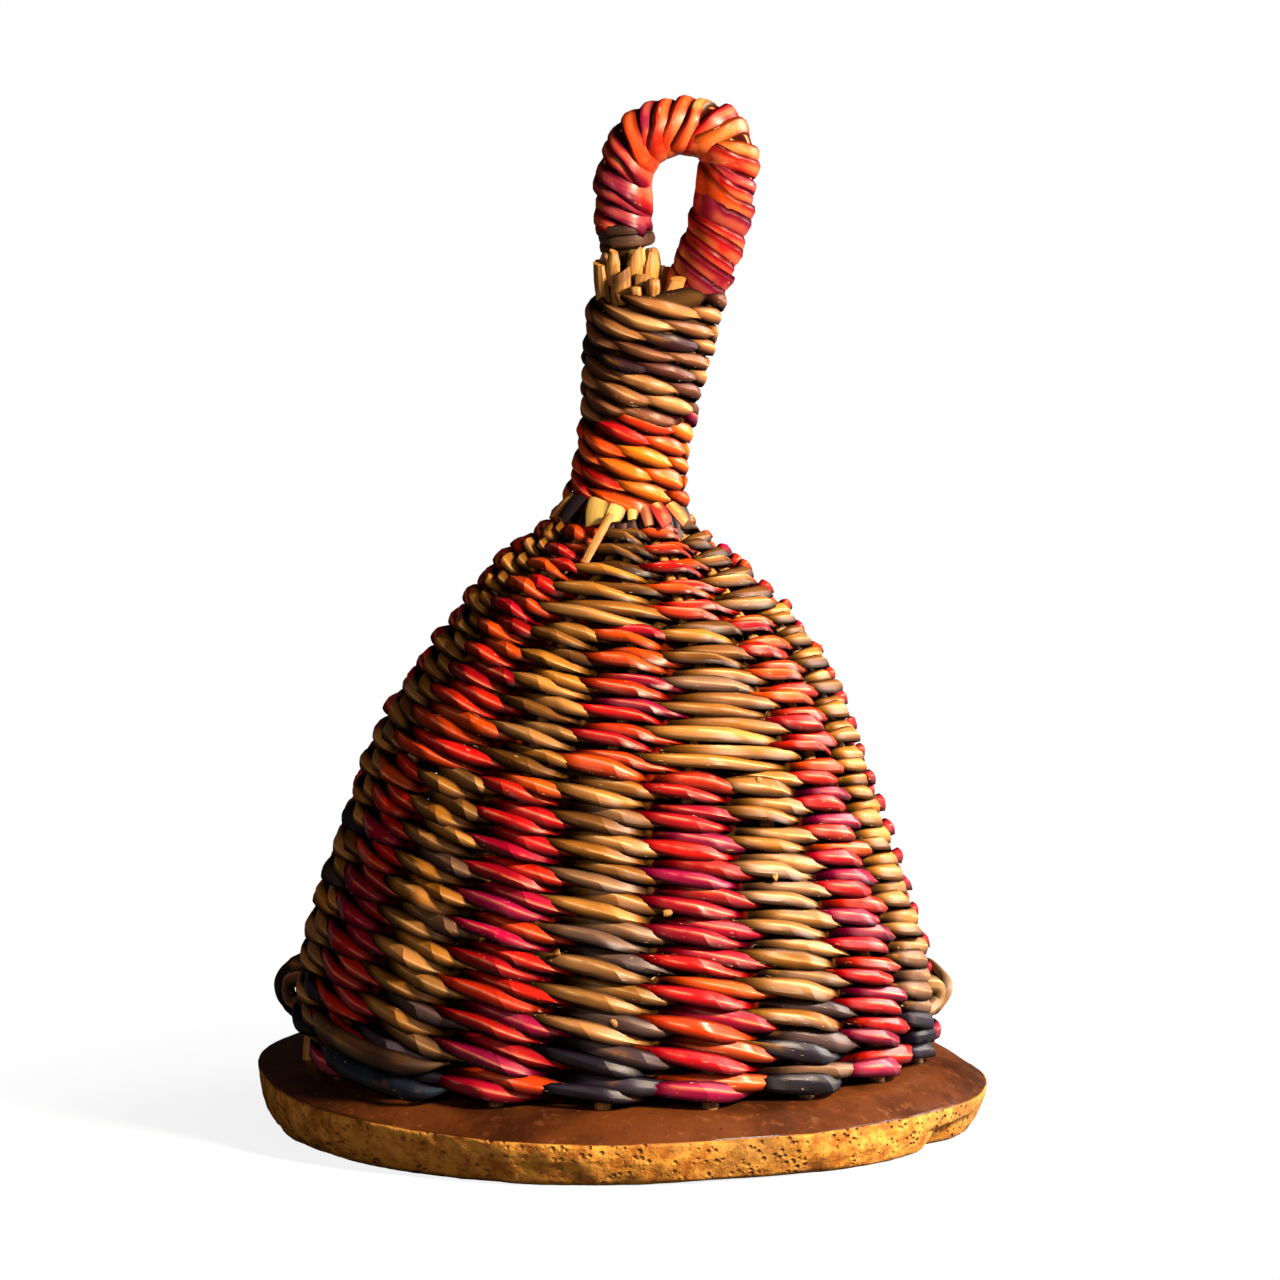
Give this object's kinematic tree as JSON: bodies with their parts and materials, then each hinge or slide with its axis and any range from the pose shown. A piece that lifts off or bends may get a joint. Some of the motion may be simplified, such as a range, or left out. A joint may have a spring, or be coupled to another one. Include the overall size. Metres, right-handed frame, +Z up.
{
  "type": "caxixi basket shaker",
  "caption": "Bell-shaped basket shaker of twined red and brown reed on a round gourd base, with a bound neck, a wrapped finger loop and loose seeds inside.",
  "frame": {"origin": "middle of the gourd base's underside, on the surface it stands on", "axes": "+Z up the basket towards the finger loop, -Y towards the front, +X the way the neck leans"},
  "size_m": [0.1442, 0.1442, 0.2048],
  "materials": {
    "gourd": "smooth dark skin, corky cut edge",
    "straw": "bare dry reed",
    "red_reed": "dyed split reed, satin",
    "brown_reed": "dyed split reed, satin",
    "orange_reed": "dyed split reed, satin",
    "seed": "hard polished seed"
  },
  "bodies": {
    "shaker": {"gourd_base": "gourd", "stake_01": "straw", "stake_02": "straw", "stake_03": "straw", "stake_04": "straw", "stake_05": "straw", "stake_06": "straw", "stake_07": "straw", "stake_08": "straw", "stake_09": "straw", "stake_10": "straw", "stake_11": "straw", "stake_12": "straw", "stake_13": "straw", "stake_14": "straw", "stake_15": "straw", "stake_16": "straw", "stake_17": "straw", "stake_18": "straw", "red_weft_lower": "red_reed", "brown_weft_lower": "brown_reed", "red_weft_middle": "red_reed", "brown_weft_middle": "brown_reed", "red_weft_upper": "red_reed", "brown_weft_upper": "brown_reed", "neck_binding_lower": "orange_reed", "neck_binding_upper": "brown_reed", "finger_loop_core": "straw", "finger_loop_wrap": "red_reed"},
    "seed_01": {"seed_01": "seed"},
    "seed_02": {"seed_02": "seed"},
    "seed_03": {"seed_03": "seed"},
    "seed_04": {"seed_04": "seed"},
    "seed_05": {"seed_05": "seed"},
    "seed_06": {"seed_06": "seed"},
    "seed_07": {"seed_07": "seed"},
    "seed_08": {"seed_08": "seed"},
    "seed_09": {"seed_09": "seed"},
    "seed_10": {"seed_10": "seed"},
    "seed_11": {"seed_11": "seed"},
    "seed_12": {"seed_12": "seed"},
    "seed_13": {"seed_13": "seed"},
    "seed_14": {"seed_14": "seed"}
  },
  "joints": [
    {"name": "seed_01_rattle", "type": "slide", "parent": "shaker", "child": "seed_01", "axis": [0, 0, 1], "range_m": [0, 0.0945]},
    {"name": "seed_02_rattle", "type": "slide", "parent": "shaker", "child": "seed_02", "axis": [0, 0, 1], "range_m": [0, 0.0912]},
    {"name": "seed_03_rattle", "type": "slide", "parent": "shaker", "child": "seed_03", "axis": [0, 0, 1], "range_m": [0, 0.0888]},
    {"name": "seed_04_rattle", "type": "slide", "parent": "shaker", "child": "seed_04", "axis": [0, 0, 1], "range_m": [0, 0.0875]},
    {"name": "seed_05_rattle", "type": "slide", "parent": "shaker", "child": "seed_05", "axis": [0, 0, 1], "range_m": [0, 0.0852]},
    {"name": "seed_06_rattle", "type": "slide", "parent": "shaker", "child": "seed_06", "axis": [0, 0, 1], "range_m": [0, 0.083]},
    {"name": "seed_07_rattle", "type": "slide", "parent": "shaker", "child": "seed_07", "axis": [0, 0, 1], "range_m": [0, 0.0816]},
    {"name": "seed_08_rattle", "type": "slide", "parent": "shaker", "child": "seed_08", "axis": [0, 0, 1], "range_m": [0, 0.0776]},
    {"name": "seed_09_rattle", "type": "slide", "parent": "shaker", "child": "seed_09", "axis": [0, 0, 1], "range_m": [0, 0.0773]},
    {"name": "seed_10_rattle", "type": "slide", "parent": "shaker", "child": "seed_10", "axis": [0, 0, 1], "range_m": [0, 0.0722]},
    {"name": "seed_11_rattle", "type": "slide", "parent": "shaker", "child": "seed_11", "axis": [0, 0, 1], "range_m": [0, 0.0734]},
    {"name": "seed_12_rattle", "type": "slide", "parent": "shaker", "child": "seed_12", "axis": [0, 0, 1], "range_m": [0, 0.0708]},
    {"name": "seed_13_rattle", "type": "slide", "parent": "shaker", "child": "seed_13", "axis": [0, 0, 1], "range_m": [0, 0.0662]},
    {"name": "seed_14_rattle", "type": "slide", "parent": "shaker", "child": "seed_14", "axis": [0, 0, 1], "range_m": [0, 0.0664]}
  ]
}
